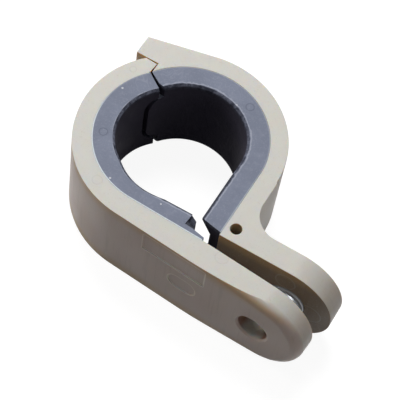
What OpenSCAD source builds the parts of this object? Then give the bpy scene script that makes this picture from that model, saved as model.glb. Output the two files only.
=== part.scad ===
// Cushioned support clamp of two hinged jaws, lying on its side face.
// The bundle runs along Z through the origin, which is the middle of the bore. Both legs
// run along +X from the ring to the bolt hole.
// Everything is drawn with the legs closed face to face. The front jaw and its lining are
// then swung about the hinge to the half-open position of a loose clamp.

/* [Bundle bore] */
// Diameter of the bundle that the lining closes on
bore_d = 23.8; // [18:0.2:36]
// Width of the clamp along the bundle
width = 20.5; // [16:0.5:30]

/* [Rubber lining] */
// Thickness of the lining round the bore
lining_t = 4.6; // [3.6:0.1:7]
// Height of the chamfer along the rims of the bore
rim_chamfer = 0.5; // [0.2:0.1:0.8]
// Reach of the rear lining's tab into the front lining, along the bore wall
tab_reach = 2.8; // [1.5:0.1:4]
// Height of that tab across the clamp
tab_h = 14.5; // [10:0.5:15]
// Depth of that tab into the lining
tab_t = 2.1; // [1.2:0.1:2.6]
// Depth of the hollow across the end of the rear lining
relief_depth = 2.8; // [2:0.1:3.2]

/* [Moulded shells] */
// Wall of both shells round the lining
wall_t = 3.7; // [2.5:0.1:6]
// Thickness of the rear leg
rear_leg_t = 5; // [4:0.1:7]
// Thickness of the front leg
front_leg_t = 5.2; // [4.5:0.1:7]
// Radius of the hollow between the rear ring and its leg
neck_fillet_r = 5.6; // [2:0.1:6]
// Radius of the rounding round the eye of the front leg
eye_round_r = 2.4; // [1:0.1:3]
// Length over which that rounding fades out along the front leg
eye_fade_l = 19; // [12:1:22]
// Depth of the two bare panels on the front leg
panel_depth = 0.2; // [0.1:0.05:0.4]

/* [Bolt hole] */
// Distance from the outside of the ring to the bolt axis, along the legs
leg_l = 12.4; // [11:0.2:30]
// Diameter of the bolt hole
bolt_hole_d = 6.6; // [4:0.1:9]
// Chamfer round the mouth of the bolt hole in the front leg
hole_chamfer = 0.4; // [0.2:0.1:0.8]
// Wall of the metal bush that lines the bolt hole of the rear leg
bush_wall = 0.9; // [0.6:0.1:1.6]
// Height of the bush above the rear leg, which keeps the closed legs apart
bush_proud = 0.5; // [0.3:0.05:1]

/* [Hinge] */
// Angle round the ring at which the notch of the hinge has its corner
hinge_angle = 139.8; // [136:0.2:143]
// Angle by which the loose clamp stands open
rest_open = 4.1; // [0:0.1:10]
// Running clearance between the tongue and its notch
hinge_gap = 0.15; // [0.1:0.01:0.3]
// Length of the lip that reaches over the tongue
lip_l = 5.15; // [4:0.05:6]
// Slope of the block's flat top
block_slope = 13.5; // [8:0.5:20]

/* [Hidden] */
$fn = 96;
eps = 0.01;
big = 200;

bore_r = bore_d / 2;
seat_r = bore_r + lining_t;
ring_r = seat_r + wall_t;
eye_r = width / 2;
face_z = width / 2;
bolt_x = ring_r + leg_l;
bush_r = bolt_hole_d / 2 + bush_wall;
bush_edge = 0.2;

// Rear leg: its inner face stands just inside the bottom of the lining's seat
rear_in_y = 0.2 - seat_r;
rear_out_y = rear_in_y + rear_leg_t;
neck_x = ring_r + 0.2;
rear_eye_x = bolt_x - 0.3;
pin_hole = [seat_r + 2.1, rear_in_y + 2.9];
pin_hole_r = 1.2;

// Front leg: closed, its inner face stands off the rear leg by the bush
front_in_y = rear_in_y - bush_proud;
front_out_y = front_in_y - front_leg_t;
front_eye_x = bolt_x + 0.4;

// The front ring is moulded a little off centre
ring_offset = [-0.7, -1.1];
// Its outer face swells towards the leg, round a second centre of the same radius
swell_c = [ring_offset[0] + 0.25, front_out_y + ring_r];
// Its bore is drawn out in the same way, and ends in a flat that rises towards the legs
bore_c2 = [1.05, -2.25];
flat_slope = 5;
flat_touch = touch(bore_c2, bore_r - eps, flat_slope);
// Its seat for the lining runs on from the ring in a straight line
seat_slope = 2.5;
seat_touch = touch(ring_offset, seat_r - eps, seat_slope);

// Hinge notch: a wall across the rear ring and a ceiling under the lip. The tongue rocks
// about a line on that ceiling, near its own outer edge.
notch_wall = 1.5;
notch_x = (seat_r + notch_wall) * cos(hinge_angle);
notch_y = (seat_r + notch_wall) * sin(hinge_angle);
pivot_reach = 2.93;
pivot = [notch_x - pivot_reach, notch_y];
lip_x = notch_x - lip_l;

// Seam between the linings, a line from the foot of the notch into the bore
seam_foot = [notch_x, sqrt(seat_r * seat_r - notch_x * notch_x)];
seam_slope = -31.5;
seam_gap = 0.16;

// Ends of the linings at the legs. The hollow in the rear one is shallow at the faces and
// over a blunt middle ridge, and the end of the front one fits into it with end_gap.
rear_end_y = rear_in_y + 0.6;
rear_end_rise = 0.8;
relief_y = rear_end_y + 6.9;
relief_land = 0.5;
relief_flank = 3.7;
relief_ridge = 1.1;
end_gap = 0.12;
front_end_x = bore_r + 0.93;
flap_x = seat_r - 0.1;
flap_step = [0.75, 0.35];

// Clearance of the tab in its pocket, and radius of its outer corners
tab_gap = 0.25;
tab_corner_r = 4;

// Turns a shape of the front jaw from the closed position to the loose one
module swung_open() {
    translate([pivot[0], pivot[1], 0])
        rotate([0, 0, -rest_open])
            translate([-pivot[0], -pivot[1], 0])
                children();
}

// Round of radius r swept in a straight line from a to b. Here and below, a straight side
// that runs on from an arc lies eps inside it, so that the two cross cleanly.
module swept_circle(a, b, r) {
    side = (r - eps) * [a[1] - b[1], b[0] - a[0]] / norm(b - a);
    translate(a) circle(r);
    translate(b) circle(r);
    polygon([a + side, a - side, b - side, b + side]);
}

// Height at x of a line through p with the given slope in degrees
function line_y(p, slope, x) = p[1] + (x - p[0]) * tan(slope);

// Point where a line of the given slope, in degrees, touches the bottom of a circle
function touch(c, r, slope) = c + r * [sin(slope), -cos(slope)];

// Half plane under the seam, moved down by gap
module under_seam(gap) {
    drop = gap / cos(seam_slope);
    left = line_y(seam_foot, seam_slope, -big) - drop;
    right = line_y(seam_foot, seam_slope, 0) - drop;
    polygon([[-big, left], [0, right], [0, -big], [-big, -big]]);
}

// Cylinder along Y about the bolt axis at x, from y0 up to y1
module across(x, r, y0, y1) {
    translate([x, y1, 0])
        rotate([90, 0, 0])
            cylinder(r = r, h = y1 - y0);
}

// Chamfer cone at the mouth of the bolt hole in the front leg
module hole_mouth() {
    r = bolt_hole_d / 2;
    translate([bolt_x, front_out_y - eps, 0])
        rotate([-90, 0, 0])
            cylinder(r1 = r + hole_chamfer + eps, r2 = r, h = hole_chamfer + eps);
}

// Everything up to the eye at eye_x, with the half round end that a leg has there
module leg_outline(eye_x) {
    translate([-big, -big, -face_z]) cube([big + eye_x, 2 * big, width]);
    across(eye_x, eye_r, -big, big);
}

// Upper half of the rear ring with its block. The block's flat top runs into the ring.
module rear_ring_profile() {
    top_touch = (ring_r - eps) * [-sin(block_slope), cos(block_slope)];
    difference() {
        intersection() {
            union() {
                circle(ring_r);
                translate([lip_x, 0]) square([top_touch[0] - lip_x, big]);
            }
            polygon([
                [-big, line_y(top_touch, block_slope, -big)],
                [big, line_y(top_touch, block_slope, big)],
                [big, 0],
                [-big, 0]
            ]);
        }
        translate([-big, -big]) square([big + notch_x, big + notch_y]);
    }
}

module rear_leg_profile() {
    translate([seat_r - eps, rear_in_y])
        square([neck_x - seat_r + eps, -rear_in_y + eps]);
    translate([seat_r - eps, rear_in_y])
        square([bolt_x + eye_r + 1 - seat_r, rear_leg_t]);
    translate([neck_x, rear_out_y]) {
        difference() {
            translate([-eps, -eps]) square(neck_fillet_r);
            translate([neck_fillet_r, neck_fillet_r]) circle(neck_fillet_r + eps);
        }
    }
}

module rear_jaw() {
    color("#d2cec2")
    difference() {
        intersection() {
            linear_extrude(width, center = true) {
                difference() {
                    union() {
                        rear_ring_profile();
                        rear_leg_profile();
                    }
                    circle(seat_r);
                    translate([0, -big]) square([seat_r, big]);
                }
            }
            leg_outline(rear_eye_x);
        }
        across(bolt_x, bush_r, rear_in_y - 1, rear_out_y + 1);
        translate(pin_hole) cylinder(r = pin_hole_r, h = width + 2, center = true);
    }
}

module front_shell_profile() {
    step_x = flap_x + 0.05;
    tongue_x = notch_x - hinge_gap;
    tongue_y = notch_y - hinge_gap;
    difference() {
        union() {
            swept_circle(ring_offset, swell_c, ring_r);
            translate([swell_c[0], front_out_y])
                square([front_eye_x + eye_r - swell_c[0] + 1, front_leg_t]);
        }
        translate(ring_offset) circle(seat_r);
        polygon([
            seat_touch,
            [step_x, line_y(seat_touch, seat_slope, step_x)],
            [step_x, front_in_y],
            [big, front_in_y],
            [big, big],
            [seat_touch[0], big]
        ]);
        translate([tongue_x, 0]) square(big);
        translate([-big, tongue_y]) square([2 * big, big]);
    }
}

// Section of the cutter below: a corner less the round of the finished edge. The round
// stands a hair proud of the faces, so that it crosses them cleanly.
module rounding_section(arm, r) {
    proud = 0.02;
    difference() {
        translate([arm, -1]) square([r + 1, r + 1 - proud]);
        translate([arm + proud, r - proud]) circle(r);
    }
}

// Cutter that rounds the outer edge of the front leg: round the eye, and from there
// straight along each side, drifting off the edge so that the rounding fades out
module eye_rounding() {
    r = eye_round_r;
    drift = atan(r / eye_fade_l);
    arm = eye_r - r;
    run = eye_fade_l + 3;
    translate([front_eye_x, front_out_y, 0]) {
        rotate([-90, 0, 0]) {
            rotate([0, 0, drift - 90])
                rotate_extrude(angle = 180 - 2 * drift)
                    rounding_section(arm, r);
            for (side = [0, 1])
                mirror([0, side, 0])
                    rotate([0, 0, 90 - drift])
                        translate([0, run, 0])
                            rotate([90, 0, 0])
                                linear_extrude(run)
                                    rounding_section(arm, r);
        }
    }
}

// Two bare recesses on the outer face of the front leg: a rectangle and, beside it, an oval
module panels() {
    rect = [14.3, 5.4];
    oval = [6.4, 4.2];
    rect_x = bolt_x - 26.1;
    oval_x = bolt_x - 16.4;
    y0 = front_out_y - 1;
    half_l = (oval[0] - oval[1]) / 2;
    translate([rect_x, y0, face_z - 6.4]) cube([rect[0], 1 + panel_depth, rect[1]]);
    translate([oval_x, 0, face_z - 10.8]) {
        for (side = [-1, 1])
            across(side * half_l, oval[1] / 2, y0, front_out_y + panel_depth);
        translate([-half_l, y0, -oval[1] / 2])
            cube([2 * half_l, 1 + panel_depth, oval[1]]);
    }
}

module front_jaw() {
    color("#d2cec2")
    swung_open()
    difference() {
        intersection() {
            linear_extrude(width, center = true) front_shell_profile();
            leg_outline(front_eye_x);
        }
        eye_rounding();
        across(bolt_x, bolt_hole_d / 2, front_out_y - 1, front_in_y + 1);
        hole_mouth();
        panels();
    }
}

// Tab of the rear lining: a piece of the bore wall with round outer corners.
// grow widens it on all sides for the pocket that takes it, which is open to the bore.
module tab(grow) {
    half_h = tab_h / 2 + grow;
    root_x = -0.75 * bore_r;
    start = atan2(line_y(seam_foot, seam_slope, root_x), root_x);
    turn = start + (tab_reach + grow) / bore_r * 180 / PI;
    root = start - 8;
    open_bore = grow > 0 ? 2 : 0;
    intersection() {
        linear_extrude(width, center = true) {
            difference() {
                intersection() {
                    circle(bore_r + tab_t + grow);
                    polygon([[0, 0], big * [cos(root), sin(root)], big * [cos(turn), sin(turn)]]);
                }
                circle(bore_r - open_bore);
            }
        }
        rotate([0, 0, turn]) {
            for (side = [-1, 1])
                translate([0, -tab_corner_r, side * (half_h - tab_corner_r)])
                    rotate([0, 90, 0])
                        cylinder(r = tab_corner_r, h = big);
            translate([0, -big, -half_h]) cube([big, big - tab_corner_r, 2 * half_h]);
            translate([0, -tab_corner_r - 1, tab_corner_r - half_h])
                cube([big, tab_corner_r + 1, 2 * (half_h - tab_corner_r)]);
        }
    }
}

// Chamfers of a bore's rims about the centre c
module bore_rims(c) {
    for (face = [0, 1])
        mirror([0, 0, face])
            translate([c[0], c[1], -face_z - eps])
                cylinder(r1 = bore_r + rim_chamfer + eps, r2 = bore_r, h = rim_chamfer + eps);
}

// Seen along Y, everything from the bore to the bottom of the rear lining's hollow
module end_room() {
    land = face_z - relief_land;
    flank = land - relief_flank;
    bottom = bore_r + relief_depth;
    polygon([
        [-big, big], [bore_r, big], [bore_r, land], [bottom, flank],
        [bottom - relief_ridge, 0],
        [bottom, -flank], [bore_r, -land], [bore_r, -big], [-big, -big]
    ]);
}

// Stands a shape of the X-Z plane up and draws it out along Y, from y0 to y1
module along_y(y0, y1) {
    translate([0, y1, 0])
        rotate([90, 0, 0])
            linear_extrude(y1 - y0)
                children();
}

module rear_lining() {
    end_corner = [bore_r, rear_end_y + rear_end_rise];
    // The inner corner at the seam is cut back
    cut_x = -0.935 * bore_r;
    seam_cut = [cut_x, line_y(seam_foot, seam_slope, cut_x)];
    color("#8a90a0")
    union() {
        difference() {
            linear_extrude(width, center = true) {
                difference() {
                    union() {
                        intersection() {
                            circle(seat_r);
                            translate([-big, 0]) square([2 * big, big]);
                        }
                        polygon([[0, eps], [seat_r, eps], [seat_r, rear_end_y],
                                 end_corner, [0, end_corner[1]]]);
                    }
                    circle(bore_r);
                    translate([0, -big]) square([bore_r, big]);
                    under_seam(0);
                    polygon([seam_cut, seam_cut + [4, -0.85], seam_cut + [4, -6],
                             seam_cut + [-2, -6]]);
                }
            }
            bore_rims([0, 0]);
            along_y(-big, relief_y) end_room();
        }
        tab(0);
    }
}

module front_lining() {
    flat_end = [front_end_x, line_y(flat_touch, flat_slope, front_end_x)];
    step_foot = [front_end_x + flap_step[0], rear_end_y - end_gap];
    flap_tip = [flap_x, step_foot[1] - flap_step[1]];
    color("#8a90a0")
    swung_open()
    difference() {
        linear_extrude(width, center = true) {
            difference() {
                union() {
                    intersection() {
                        translate(ring_offset) circle(seat_r);
                        union() {
                            under_seam(seam_gap);
                            translate([-eps, -big]) square([eps + flat_touch[0], big]);
                        }
                    }
                    polygon([seat_touch, [flap_x, line_y(seat_touch, seat_slope, flap_x)],
                             flap_tip, step_foot, flat_end, flat_touch, bore_c2,
                             ring_offset]);
                }
                swept_circle(ring_offset, bore_c2, bore_r);
            }
        }
        tab(tab_gap);
        bore_rims(ring_offset);
        bore_rims(bore_c2);
        // Lead-in of the end, where it passes into the hollow of the rear lining
        along_y(step_foot[1], 0) {
            difference() {
                translate([bore_r - 1, -big / 2]) square(big);
                translate([-end_gap, 0]) end_room();
            }
        }
    }
}

module bush() {
    length = bush_proud + rear_leg_t;
    color("#b9bbbd")
    translate([bolt_x, front_in_y, 0])
        rotate([-90, 0, 0])
            rotate_extrude()
                polygon([
                    [bolt_hole_d / 2, 0], [bush_r - bush_edge, 0], [bush_r, bush_edge],
                    [bush_r, length], [bolt_hole_d / 2, length]
                ]);
}

rear_jaw();
front_jaw();
rear_lining();
front_lining();
bush();
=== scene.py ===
"""The loose p-clip as its photograph shows it: beige jaws with blue-grey linings."""

import math

import bmesh
import bpy
from mathutils import Matrix, Vector


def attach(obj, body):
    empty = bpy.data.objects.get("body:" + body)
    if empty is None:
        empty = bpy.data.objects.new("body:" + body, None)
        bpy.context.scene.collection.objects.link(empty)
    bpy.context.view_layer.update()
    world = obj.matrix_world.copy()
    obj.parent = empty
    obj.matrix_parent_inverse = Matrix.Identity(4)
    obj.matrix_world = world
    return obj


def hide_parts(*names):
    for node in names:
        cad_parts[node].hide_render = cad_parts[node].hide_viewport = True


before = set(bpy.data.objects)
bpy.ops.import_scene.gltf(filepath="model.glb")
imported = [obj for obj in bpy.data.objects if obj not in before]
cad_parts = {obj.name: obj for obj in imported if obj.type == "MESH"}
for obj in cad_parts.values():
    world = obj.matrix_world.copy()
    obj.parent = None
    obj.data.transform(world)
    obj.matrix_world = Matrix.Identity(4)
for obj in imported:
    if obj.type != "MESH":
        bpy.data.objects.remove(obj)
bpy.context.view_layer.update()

MM = 0.001
SEAT_R = 16.5  # of the linings in the jaws, in mm
FACE_Z = 10.25  # the two side faces lie this far from the middle plane, in mm


# Meshes

EDGE_ANGLE = math.radians(28)  # above this, an edge is more than a facet's
FLAT_ANGLE = math.radians(0.4)  # below this, two faces are one
SAME_POINT = 2e-6  # in m


def dressed(name, node, radius, segments):
    """A copy of a CAD node with its facets joined and its real edges rounded off.
    radius is in mm."""
    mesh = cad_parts[node].data.copy()
    mesh.materials.clear()
    obj = bpy.data.objects.new(name, mesh)
    bpy.context.scene.collection.objects.link(obj)
    bm = bmesh.new()
    bm.from_mesh(mesh)
    bmesh.ops.remove_doubles(bm, verts=bm.verts, dist=SAME_POINT)
    bmesh.ops.dissolve_limit(
        bm, angle_limit=FLAT_ANGLE, verts=bm.verts, edges=bm.edges
    )
    bmesh.ops.dissolve_degenerate(bm, dist=SAME_POINT, edges=bm.edges)
    weight = bm.edges.layers.float.new("bevel_weight_edge")
    for e in bm.edges:
        if len(e.link_faces) == 2 and e.calc_face_angle(0.0) > EDGE_ANGLE:
            e[weight] = 1.0
    bm.to_mesh(mesh)
    bm.free()
    for polygon in mesh.polygons:
        polygon.use_smooth = True
    rounding = obj.modifiers.new("rounding", "BEVEL")
    rounding.limit_method = "WEIGHT"
    rounding.offset_type = "OFFSET"
    rounding.width = radius * MM
    rounding.segments = segments
    rounding.use_clamp_overlap = True
    weigh = obj.modifiers.new("weigh", "WEIGHTED_NORMAL")
    weigh.keep_sharp = True
    weigh.weight = 60
    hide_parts(node)
    return obj


# Soft fits. The CAD linings are stiff and keep gaps where real rubber presses on itself,
# so the rubber here is let out at those places, by less than the gap at the closed pose.

SEAM_FOOT = Vector((-13.93, 8.92))  # of the front lining's end at the hinge, in mm
SEAM_SLOPE = math.radians(-35.6)
SEAM_REACH = 0.8  # vertices this near to the seam's line are moved, in mm
SEAM_RUN = (-0.5, 6.5)  # and these along it, which takes in its whole length
SEAM_LIFT = 0.1  # in mm, full from SEAM_RISE onwards
SEAM_RISE = 2.0
TAB_ROOT, TAB_TIP = math.radians(145.4), math.radians(158.8)
TAB_SPARE = 0.03  # radians past the tip that still count as the tab
TAB_PUSH = 0.1  # in mm, at the tip


def let_out(obj, shift):
    """Moves each vertex by shift(place), both in mm in the row frame."""
    for vertex in obj.data.vertices:
        vertex.co += shift(vertex.co / MM) * MM


def share(value, low, high):
    return min(1.0, max(0.0, (value - low) / (high - low)))


def front_shift(place):
    """Lifts the end at the hinge towards the seam."""
    along = Vector((math.cos(SEAM_SLOPE), math.sin(SEAM_SLOPE)))
    across = Vector((-along.y, along.x))
    off = place.xy - SEAM_FOOT
    run = off.dot(along)
    if abs(off.dot(across)) < SEAM_REACH and SEAM_RUN[0] < run < SEAM_RUN[1]:
        return (across * SEAM_LIFT * share(run, 0.0, SEAM_RISE)).to_3d()
    return Vector((0.0, 0.0, 0.0))


def rear_shift(place):
    """Pushes the tip of the tab further into its pocket."""
    turn = math.atan2(place.y, place.x)
    if not TAB_ROOT < turn < TAB_TIP + TAB_SPARE:
        return Vector((0.0, 0.0, 0.0))
    push = TAB_PUSH * share(turn, TAB_ROOT, TAB_TIP)
    return Vector((-math.sin(turn), math.cos(turn), 0.0)) * push


# Materials


class Paint:
    """A Principled material and the few node calls that the finishes below share."""

    def __init__(self, name, **sockets):
        self.material = bpy.data.materials.new(name)
        self.material.use_nodes = True
        self.tree = self.material.node_tree
        self.bsdf = self.tree.nodes["Principled BSDF"]
        for socket, value in sockets.items():
            self.bsdf.inputs[socket.replace("_", " ")].default_value = value

    def node(self, kind, **settings):
        made = self.tree.nodes.new(kind)
        for key, value in settings.items():
            setattr(made, key, value)
        return made

    def feed(self, socket, value):
        """Links a node's output to a socket, or sets the socket to a plain value."""
        if isinstance(value, bpy.types.NodeSocket):
            self.tree.links.new(value, socket)
        else:
            socket.default_value = value

    def place(self):
        return self.node("ShaderNodeTexCoord").outputs["Object"]

    def noise(self, scale, detail=3.0, rough=0.55, at=None):
        made = self.node("ShaderNodeTexNoise")
        self.feed(made.inputs["Vector"], at or self.place())
        made.inputs["Scale"].default_value = scale
        made.inputs["Detail"].default_value = detail
        made.inputs["Roughness"].default_value = rough
        return made.outputs["Fac"]

    def math(self, operation, a, b=0.0):
        made = self.node("ShaderNodeMath", operation=operation)
        self.feed(made.inputs[0], a)
        self.feed(made.inputs[1], b)
        return made.outputs[0]

    def span(self, value, low, high, to_low=0.0, to_high=1.0):
        made = self.node("ShaderNodeMapRange", interpolation_type="SMOOTHSTEP")
        for socket, v in zip(made.inputs, (value, low, high, to_low, to_high)):
            self.feed(socket, v)
        return made.outputs[0]

    def mix(self, factor, a, b):
        made = self.node("ShaderNodeMix", data_type="RGBA")
        self.feed(made.inputs[0], factor)
        self.feed(made.inputs[6], a)
        self.feed(made.inputs[7], b)
        return made.outputs[2]

    def vector(self, operation, a, b=(0.0, 0.0, 0.0), output="Vector"):
        made = self.node("ShaderNodeVectorMath", operation=operation)
        self.feed(made.inputs[0], a)
        self.feed(made.inputs[1], b)
        return made.outputs[output]

    def times(self, a, b):
        return self.math("MULTIPLY", a, b)

    def near_value(self, value, target, core, width, strength=1.0):
        """strength within core of the target, fading to 0 at width from it."""
        off = self.math("ABSOLUTE", self.math("SUBTRACT", value, target))
        return self.span(off, core, width, strength, 0.0)

    def fold(self, operation, values):
        total = values[0]
        for value in values[1:]:
            total = self.math(operation, total, value)
        return total

    def distance(self, centre):
        """Distance in mm from a point given in mm in the row frame."""
        point = tuple(c * MM for c in centre)
        return self.times(self.vector("DISTANCE", self.place(), point, "Value"), 1 / MM)

    def rings(self, marks, width):
        """1 on the circle lines of marks, which are pairs of a centre and a radius."""
        return self.fold(
            "MAXIMUM",
            [self.near_value(self.distance(c), r, 0.0, width) for c, r in marks],
        )

    def dots(self, specks):
        """1 inside the specks, which are pairs of a centre and a radius."""
        return self.fold(
            "MAXIMUM",
            [self.span(self.distance(c), r * 0.6, r, 1.0, 0.0) for c, r in specks],
        )

    def panel_highlight_line(self, centre, half, corner):
        """1 on the outline of a panel of the front leg, where a painted highlight goes,
        and 0
            away from it. centre and half are in mm along the closed leg and in Z. corner
            is the corners' radius."""
        turn = math.radians(REST_OPEN)
        off = self.vector("SUBTRACT", self.place(), tuple(c * MM for c in PIVOT))
        along = (math.cos(turn) / MM, -math.sin(turn) / MM, 0.0)
        point = self.node("ShaderNodeCombineXYZ")
        self.feed(point.inputs["X"], self.vector("DOT_PRODUCT", off, along, "Value"))
        self.feed(point.inputs["Y"], self.times(self.part_of("Object", "Z"), 1 / MM))
        middle = (centre[0] - PIVOT[0], centre[1], 0.0)
        off = self.vector("SUBTRACT", point.outputs["Vector"], middle)
        off = self.vector("ABSOLUTE", off)
        off = self.vector("SUBTRACT", off, (half[0] - corner, half[1] - corner, 0.0))
        off = self.vector("MAXIMUM", off)
        return self.near_value(
            self.vector("LENGTH", off, output="Value"), corner, *PANEL_LINE
        )

    def reach(self, spine):
        """Distance in mm from a wall along the bundle over a spine, a pair of points
        (x, y) in mm."""
        start, end = (Vector(point).to_3d() for point in spine)
        way = (end - start).normalized()
        place = self.vector("MULTIPLY", self.place(), (1 / MM, 1 / MM, 0.0))
        off = self.vector("SUBTRACT", place, tuple(start))
        along = self.vector("DOT_PRODUCT", off, tuple(way), "Value")
        along = self.math("MAXIMUM", along, 0.0)
        along = self.math("MINIMUM", along, (end - start).length)
        made = self.node("ShaderNodeVectorMath", operation="SCALE")
        made.inputs[0].default_value = tuple(way)
        self.feed(made.inputs["Scale"], along)
        return self.vector("DISTANCE", off, made.outputs["Vector"], "Value")

    def part_of(self, output, axis):
        """One component of a texture coordinate."""
        split = self.node("ShaderNodeSeparateXYZ")
        self.feed(split.inputs[0], self.node("ShaderNodeTexCoord").outputs[output])
        return split.outputs[axis]

    def upright(self):
        """How squarely a surface faces along the bundle, from 0 to 1."""
        return self.math("ABSOLUTE", self.part_of("Normal", "Z"))

    def forward(self):
        """How squarely a surface faces -Y, from -1 to 1."""
        return self.times(self.part_of("Normal", "Y"), -1.0)

    def depth(self):
        """Distance in mm below the nearer side face."""
        height = self.math("ABSOLUTE", self.part_of("Object", "Z"))
        return self.math("SUBTRACT", FACE_Z, self.times(height, 1 / MM))

    def low_down(self, low, high, to_low, to_high):
        """to_low below Y = low and to_high above Y = high, both in mm."""
        y = self.part_of("Object", "Y")
        return self.span(y, low * MM, high * MM, to_low, to_high)

    def bump(self, layers):
        """layers is a list of (height output, depth in mm)."""
        normal = None
        for height, depth in layers:
            made = self.node("ShaderNodeBump")
            made.inputs["Strength"].default_value = 1.0
            made.inputs["Distance"].default_value = depth * MM
            self.feed(made.inputs["Height"], height)
            if normal is not None:
                self.feed(made.inputs["Normal"], normal)
            normal = made.outputs[0]
        self.feed(self.bsdf.inputs["Normal"], normal)

    def coat(self, colour, roughness):
        """Feeds the two sockets that every finish below varies."""
        self.feed(self.bsdf.inputs["Base Color"], colour)
        self.feed(self.bsdf.inputs["Roughness"], roughness)


def srgb(r, g, b):
    """An sRGB colour of 0 to 255 as the linear colour that a shader takes."""
    linear = [
        c / 12.92 if c <= 0.04045 else ((c + 0.055) / 1.055) ** 2.4
        for c in (r / 255, g / 255, b / 255)
    ]
    return (*linear, 1.0)


SHELL = {
    "face": (srgb(207, 204, 196), srgb(213, 211, 204)),
    # painted shade: the walls' tone is the face's plastic made darker and browner
    "wall": (srgb(190, 180, 168), srgb(198, 189, 178)),
    "drag": srgb(160, 148, 136),
    # painted light: the amber glow below the edges of the walls that face -Y
    "glow": srgb(198, 166, 118),
    # painted shade in the bolt hole
    "bolt_hole_shade": srgb(150, 102, 84),
    # painted highlight on the panels' outlines
    "panel": srgb(250, 240, 226),
    # painted light: the amber rim at the hinge notch
    "notch": srgb(206, 164, 96),
    "fleck": srgb(190, 183, 168),
    "ring": srgb(180, 174, 160),
}


def shell_wall(paint, cloud, forward_shading_tone, panels):
    """The walls: drag lines, painted shading on the walls that face -Y, painted brown
    light below the edges that face -Y, painted shade in the bolt hole and painted
    highlights on the panels' outlines."""
    forward = paint.span(paint.forward(), 0.1, 0.7)
    wall = paint.mix(cloud, *SHELL["wall"])
    low = paint.low_down(-4.0, 0.0, 1.0, 0.0)
    # painted shading: walls that face -Y, below Y = -4 mm, take a tone for how the light
    # falls there
    wall = paint.mix(paint.times(forward, low), wall, forward_shading_tone)
    along_bundle = paint.vector("MULTIPLY", paint.place(), (1.0, 1.0, 0.06))
    drag = paint.span(paint.noise(1500.0, at=along_bundle), 0.5, 0.75)
    wall = paint.mix(paint.times(drag, 0.18), wall, SHELL["drag"])
    # painted light: an amber glow within about 3.4 mm below the side faces, on walls
    # that face -Y
    glow = paint.times(paint.span(paint.depth(), 0.2, 3.4, 1.0, 0.0), forward)
    wall = paint.mix(paint.times(glow, 0.7), wall, SHELL["glow"])
    # painted shade: a brown darkening inside the front leg's bolt hole
    bolt_hole_shade = paint.span(paint.distance(FRONT_BOLT), 3.9, 4.2, 0.75, 0.0)
    wall = paint.mix(bolt_hole_shade, wall, SHELL["bolt_hole_shade"])
    # painted highlights along the panels' outlines on the walls that face -Y
    for panel in panels:
        line = paint.times(paint.panel_highlight_line(*panel), forward)
        wall = paint.mix(paint.times(line, 0.6), wall, SHELL["panel"])
    return wall


def shell_paint(name, marks, forward_shading_tone, panels=()):
    """Satin moulded plastic, a little translucent, with painted amber light on the rim
    at the notch. forward_shading_tone is the painted shading of the walls that face -Y
    below the bore's middle, and panels holds what panel_highlight_line takes, for the
    painted highlights on the outlines there."""
    paint = Paint(
        name,
        Specular_IOR_Level=0.2,
        Subsurface_Weight=0.5,
        Subsurface_Radius=(1.0, 0.5, 0.2),
        Subsurface_Scale=1.4 * MM,
    )
    cloud = paint.span(paint.noise(110.0, 4.0), 0.35, 0.7)
    upright = paint.upright()
    facing = (0.6, 0.97)
    wall = shell_wall(paint, cloud, forward_shading_tone, panels)
    face = paint.mix(cloud, *SHELL["face"])
    # painted shade: walls take the darker, browner wall tone and the side faces the
    # plain face tone
    body = paint.mix(paint.span(upright, *facing), wall, face)
    # painted light: an amber rim on the shallow edges near the hinge notch
    near = paint.span(paint.distance(NOTCH), 4.0, 5.5, 0.8, 0.0)
    shallow = paint.span(paint.depth(), 0.3, 0.9, 1.0, 0.0)
    rim = paint.span(upright, 0.5, 0.99, shallow, 0.0)
    body = paint.mix(paint.times(near, rim), body, SHELL["notch"])
    fleck = paint.span(paint.noise(2600.0, 2.0), 0.6, 0.72)
    body = paint.mix(paint.times(fleck, 0.3), body, SHELL["fleck"])
    rings = paint.rings(marks, 0.22)
    strength = paint.span(upright, *facing, 0.5, 0.2)
    body = paint.mix(paint.times(rings, strength), body, SHELL["ring"])
    paint.coat(body, paint.span(cloud, 0.0, 1.0, 0.38, 0.48))
    grain = paint.noise(3800.0, 3.0, 0.6)
    paint.bump([(rings, -0.012), (cloud, 0.02), (grain, 0.012)])
    return paint.material


RUBBER = {
    "face": (srgb(126, 132, 149), srgb(136, 142, 160)),
    # painted shade: the walls are the face's rubber painted dark
    "wall": (srgb(66, 63, 75), srgb(75, 72, 85)),
    # the rim's torn flash, in a painted shade between the walls' tone and the face's
    "rim": (srgb(62, 64, 76), srgb(124, 128, 145)),
    "streak": srgb(142, 147, 163),
    "flow": srgb(160, 164, 178),
    "fleck": srgb(158, 162, 178),
    "ring": srgb(98, 103, 120),
    "speck": srgb(225, 227, 232),
    # painted highlight on the bore's rim
    "rim_highlight": srgb(176, 180, 194),
    # painted shade: the dark band on the side face at the bore
    "rim_shade": srgb(44, 45, 54),
    # painted highlight: the bright line at the seat
    "seat_highlight": srgb(226, 232, 236),
    # painted light on the edges along the seat
    "lit_seat_edge": srgb(170, 174, 186),
}


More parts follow.
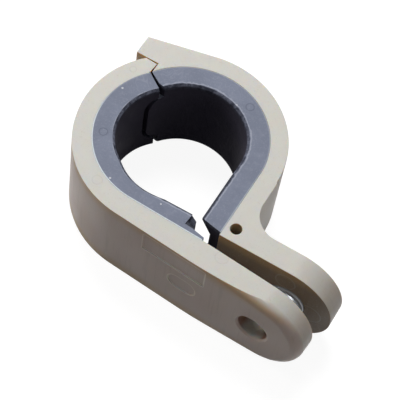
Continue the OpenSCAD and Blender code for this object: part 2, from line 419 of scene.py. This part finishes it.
def rubber_face(paint, cloud, streak, rings, dots):
    """The side faces: streaks, flow lines, flecks, moulding marks and specks."""
    flow = paint.math("SINE", paint.times(paint.noise(170.0, 2.0), 90.0))
    flow = paint.times(paint.span(flow, 0.55, 1.0), cloud)
    swirl = paint.span(paint.distance(NOTCH), 3.0, 9.0, 0.5, 0.2)
    fleck = paint.span(paint.noise(2900.0, 2.0), 0.56, 0.72, 0.0, 0.4)
    face = paint.mix(cloud, *RUBBER["face"])
    face = paint.mix(paint.times(streak, 0.35), face, RUBBER["streak"])
    face = paint.mix(paint.times(flow, swirl), face, RUBBER["flow"])
    face = paint.mix(fleck, face, RUBBER["fleck"])
    face = paint.mix(paint.times(rings, 0.5), face, RUBBER["ring"])
    return paint.mix(paint.times(dots, 0.8), face, RUBBER["speck"])


def rubber_borders(paint, face, near, seat, rim_shade, seat_highlight):
    """The painted light and shade on a side face: a painted highlight and a band of
    painted shade at the bore, and a painted highlight at the seat."""
    # painted highlight: a pale line just past the band of painted shade at the bore
    rim_highlight = paint.near_value(near, rim_shade + 0.2, 0.04, 0.2, 0.7)
    face = paint.mix(rim_highlight, face, RUBBER["rim_highlight"])
    # painted shade: a dark band on the side face at the bore, strongest below Y = -4 mm
    dark = paint.low_down(-4.0, 2.0, 0.85, 0.1)
    dark = paint.span(near, rim_shade - 0.15, rim_shade + 0.1, dark, 0.0)
    face = paint.mix(dark, face, RUBBER["rim_shade"])
    # painted highlight: a bright line along the seat, of the strengths given
    line = paint.near_value(paint.reach(seat), SEAT_R - 0.08, 0.05, 0.2)
    strength = paint.low_down(-9.0, 3.0, seat_highlight[1], seat_highlight[0])
    return paint.mix(paint.times(line, strength), face, RUBBER["seat_highlight"])


def lining_paint(name, bore, seat, rim_shade, seat_highlight, edge_from, marks, specks):
    """Moulded rubber: pale side faces with flow lines, dull walls painted dark as shade,
    torn rims partly in painted shade.
    bore and seat hold the spines that these walls run round. A band of painted shade
    lies on the side face at the rim, up to the reach worn, in mm. border is the strength
    of the painted highlight at the seat, above and below the bore. Edges with an upright
    part over edge_from are mottled in painted shade along the bore and painted light
    along the seat."""
    paint = Paint(name)
    cloud = paint.span(paint.noise(160.0, 5.0), 0.3, 0.72)
    streak = paint.span(paint.noise(900.0), 0.5, 0.66)
    rings = paint.rings(marks, 0.2)
    dots = paint.dots(specks)
    torn = paint.noise(700.0, 4.0, 0.7)
    waver = paint.times(
        paint.span(torn, 0.3, 0.7, -0.2, 0.2), paint.low_down(-6.0, 0.0, 0.4, 1.0)
    )
    reach = paint.fold("MINIMUM", [paint.reach(spine) for spine in bore])
    face = rubber_face(paint, cloud, streak, rings, dots)
    near = paint.math("ADD", reach, waver)
    face = rubber_borders(paint, face, near, seat, rim_shade, seat_highlight)

    # painted shade: the walls are painted dark
    wall = paint.mix(cloud, *RUBBER["wall"])
    # the torn flash at the rim, in painted shade, within about 1.5 mm below the side
    # face
    rim = paint.mix(paint.span(torn, 0.35, 0.7), *RUBBER["rim"])
    ragged = paint.math("ADD", paint.depth(), paint.times(waver, 3.0))
    wall = paint.mix(paint.span(ragged, 0.5, 1.5, 0.8, 0.0), wall, rim)
    # painted light: edges along the seat are pale, edges along the bore take the rim's
    # tone
    edge = paint.mix(paint.span(reach, 13.0, 15.0), rim, RUBBER["lit_seat_edge"])
    upright = paint.upright()
    body = paint.mix(paint.span(upright, edge_from, edge_from + 0.06), wall, edge)
    body = paint.mix(paint.span(upright, 0.86, 0.98), body, face)
    paint.coat(body, paint.span(cloud, 0.0, 1.0, 0.5, 0.62))
    shine = paint.span(upright, 0.5, 0.98, 0.01, 0.04)
    paint.feed(paint.bsdf.inputs["Specular IOR Level"], shine)
    grain = paint.noise(4200.0, 3.0, 0.6)
    paint.bump([(rings, 0.03), (dots, 0.03), (streak, 0.015), (grain, 0.015)])
    return paint.material


def bush_paint():
    """Turned and passivated steel."""
    paint = Paint("bush_steel", Metallic=0.9)
    cloud = paint.noise(400.0)
    tone = paint.mix(cloud, srgb(132, 134, 138), srgb(156, 158, 162))
    paint.coat(tone, paint.span(cloud, 0.3, 0.7, 0.4, 0.55))
    paint.bump([(paint.noise(2200.0, 2.0), 0.01)])
    return paint.material


def finish(obj, material, body):
    obj.data.materials.append(material)
    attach(obj, body)


# The object

# The walls of the bore and of the seat run at one distance round these lines, in mm. The
# front lining's bore is drawn out from one centre to a second one and then to the legs.
REAR_SPINE = ((0.0, 0.0), (0.0, -20.0))
FRONT_BORE = [((-1.65, -2.21), (0.01, -3.48)), ((0.01, -3.48), (20.01, -3.17))]
FRONT_SEAT = ((-1.65, -2.21), (18.34, -2.77))
PIVOT = (-16.678, 11.618, 0.0)  # the hinge, in mm
REST_OPEN = 4.1  # the angle by which the clamp stands open at rest, in degrees
PANEL_LINE = (0.08, 0.3)  # in mm from its middle, where it is full and where it is gone
PANELS = [((13.65, 6.55), (7.15, 2.7), 0.3), ((16.2, -0.55), (3.2, 2.1), 2.1)]
FRONT_BOLT = (30.27, -22.64, 0.0)  # the middle of the front leg's bolt hole, in mm
NOTCH = (-13.9, 9.5, FACE_Z)  # a point of the hinge notch, in mm
REAR_MARKS = [((31.6, -16.3, 6.5), 2.1), ((38.0, -16.3, -0.2), 2.5)]
FRONT_MARKS = [
    ((-9.5, -18.8, FACE_Z), 1.0),
    ((19.4, -20.4, FACE_Z), 1.3),
    ((-17.3, 7.5, FACE_Z), 0.7),
]
REAR_RUBBER_MARKS = [((7.1, 12.75, FACE_Z), 0.85)]
FRONT_RUBBER_MARKS = [((-14.4, -8.6, FACE_Z), 0.85)]
REAR_SPECKS = [((4.6, 11.6, FACE_Z), 0.28)]
FRONT_SPECKS = [
    ((-16.66, 2.37, FACE_Z), 0.28),
    ((-7.64, -17.0, FACE_Z), 0.28),
    ((3.64, -16.6, FACE_Z), 0.22),
]

rear_jaw = dressed("rear_jaw_shell", "rear_jaw", 0.28, 3)
# the rear shell's walls that face -Y take this darker, browner painted shade
rear_plastic = shell_paint("shell_rear", REAR_MARKS, srgb(142, 126, 109))
finish(rear_jaw, rear_plastic, "rear")
front_jaw = dressed("front_jaw_shell", "front_jaw", 0.28, 3)
# the front shell's walls that face -Y take this lighter, pinker painted tone
front_plastic = shell_paint("shell_front", FRONT_MARKS, srgb(208, 190, 180), PANELS)
finish(front_jaw, front_plastic, "front")
rear_lining = dressed("rear_lining_rubber", "rear_lining", 0.16, 3)
let_out(rear_lining, rear_shift)
rear_rubber = lining_paint(
    "rubber_rear",
    bore=[REAR_SPINE],
    seat=REAR_SPINE,
    # how far the painted shade at the rim reaches, in mm
    rim_shade=12.4,
    # strengths of the painted highlight at the seat, above and below the bore
    seat_highlight=(0.25, 0.5),
    edge_from=0.64,
    marks=REAR_RUBBER_MARKS,
    specks=REAR_SPECKS,
)
finish(rear_lining, rear_rubber, "rear")
front_lining = dressed("front_lining_rubber", "front_lining", 0.16, 3)
let_out(front_lining, front_shift)
front_rubber = lining_paint(
    "rubber_front",
    bore=FRONT_BORE,
    seat=FRONT_SEAT,
    # how far the painted shade at the rim reaches, in mm
    rim_shade=12.15,
    # strengths of the painted highlight at the seat, above and below the bore
    seat_highlight=(0.15, 1.0),
    edge_from=0.5,
    marks=FRONT_RUBBER_MARKS,
    specks=FRONT_SPECKS,
)
finish(front_lining, front_rubber, "front")
bush = dressed("bush_turned", "bush", 0.08, 2)
finish(bush, bush_paint(), "rear")


# Camera, lights and floor

FOCAL_LENGTH = 1576.4  # in pixels of the photograph
PHOTO_WIDTH = 400  # in pixels
FLOOR_GAP = 1e-5  # in m, so that the part's lower faces don't flicker on the floor


def add_camera():
    """The photograph's viewpoint, found by fitting the ring, the legs and the hole."""
    place = Vector((65.10, -158.74, 271.88)) * MM
    forward = Vector((-0.18209, 0.48189, -0.85711)).normalized()
    level_right = Vector((0.93544, 0.35347, 0.0)).normalized()
    level_down = forward.cross(level_right)
    roll = math.radians(-10.87)
    right = math.cos(roll) * level_right + math.sin(roll) * level_down
    down = -math.sin(roll) * level_right + math.cos(roll) * level_down
    data = bpy.data.cameras.new("camera")
    data.sensor_fit = "HORIZONTAL"
    data.sensor_width = 36.0
    data.lens = data.sensor_width * FOCAL_LENGTH / PHOTO_WIDTH
    data.clip_start = 0.01
    camera = bpy.data.objects.new("camera", data)
    turn = Matrix((right, -down, -forward)).transposed()
    camera.matrix_world = Matrix.Translation(place) @ turn.to_4x4()
    bpy.context.scene.collection.objects.link(camera)
    bpy.context.scene.camera = camera


def add_lamp(name, place, size, power, aim=(0.01, -0.003, 0.0)):
    data = bpy.data.lights.new(name, "AREA")
    data.shape = "DISK"
    data.size = size
    data.energy = power
    lamp = bpy.data.objects.new(name, data)
    lamp.location = place
    way = Vector(aim) - Vector(place)
    lamp.rotation_euler = way.to_track_quat("-Z", "Y").to_euler()
    bpy.context.scene.collection.objects.link(lamp)


def seen_plainly(tree):
    """1 for the rays that show the background: camera, glossy and transmission rays."""
    path = tree.nodes.new("ShaderNodeLightPath")
    total = None
    for ray in ("Is Camera Ray", "Is Glossy Ray", "Is Transmission Ray"):
        if total is None:
            total = path.outputs[ray]
            continue
        add = tree.nodes.new("ShaderNodeMath")
        add.operation = "MAXIMUM"
        tree.links.new(total, add.inputs[0])
        tree.links.new(path.outputs[ray], add.inputs[1])
        total = add.outputs[0]
    return total


def add_world(ambient):
    world = bpy.data.worlds.new("studio")
    bpy.context.scene.world = world
    world.use_nodes = True
    tree = world.node_tree
    background = tree.nodes["Background"]
    background.inputs["Color"].default_value = (1.0, 1.0, 1.0, 1.0)
    level = tree.nodes.new("ShaderNodeMapRange")
    level.inputs["To Min"].default_value = ambient
    level.inputs["To Max"].default_value = 1.0
    tree.links.new(seen_plainly(tree), level.inputs["Value"])
    tree.links.new(level.outputs[0], background.inputs["Strength"])


def add_floor(glow):
    """A pale floor. The rays that show it see a glow on top of its own lit colour."""
    below = -FACE_Z * MM - FLOOR_GAP
    bpy.ops.mesh.primitive_plane_add(size=6.0, location=(0, 0, below))
    floor = bpy.context.object
    floor.name = "floor"
    material = bpy.data.materials.new("floor_paper")
    material.use_nodes = True
    tree = material.node_tree
    bsdf = tree.nodes["Principled BSDF"]
    bsdf.inputs["Base Color"].default_value = (0.2, 0.2, 0.2, 1.0)
    bsdf.inputs["Roughness"].default_value = 0.9
    bsdf.inputs["Specular IOR Level"].default_value = 0.0
    bsdf.inputs["Emission Color"].default_value = (1.0, 1.0, 1.0, 1.0)
    level = tree.nodes.new("ShaderNodeMapRange")
    level.inputs["To Max"].default_value = glow
    tree.links.new(seen_plainly(tree), level.inputs["Value"])
    tree.links.new(level.outputs[0], bsdf.inputs["Emission Strength"])
    floor.data.materials.append(material)


add_camera()
add_lamp("key", (-0.24, 0.38, 0.77), 0.45, 5.8)
add_lamp("left", (-0.7, -0.05, 0.35), 0.4, 1.8)
add_lamp("right", (0.75, -0.1, 0.35), 0.4, 0.5)
add_world(0.12)
add_floor(0.92)
bpy.context.scene.view_settings.view_transform = "Standard"
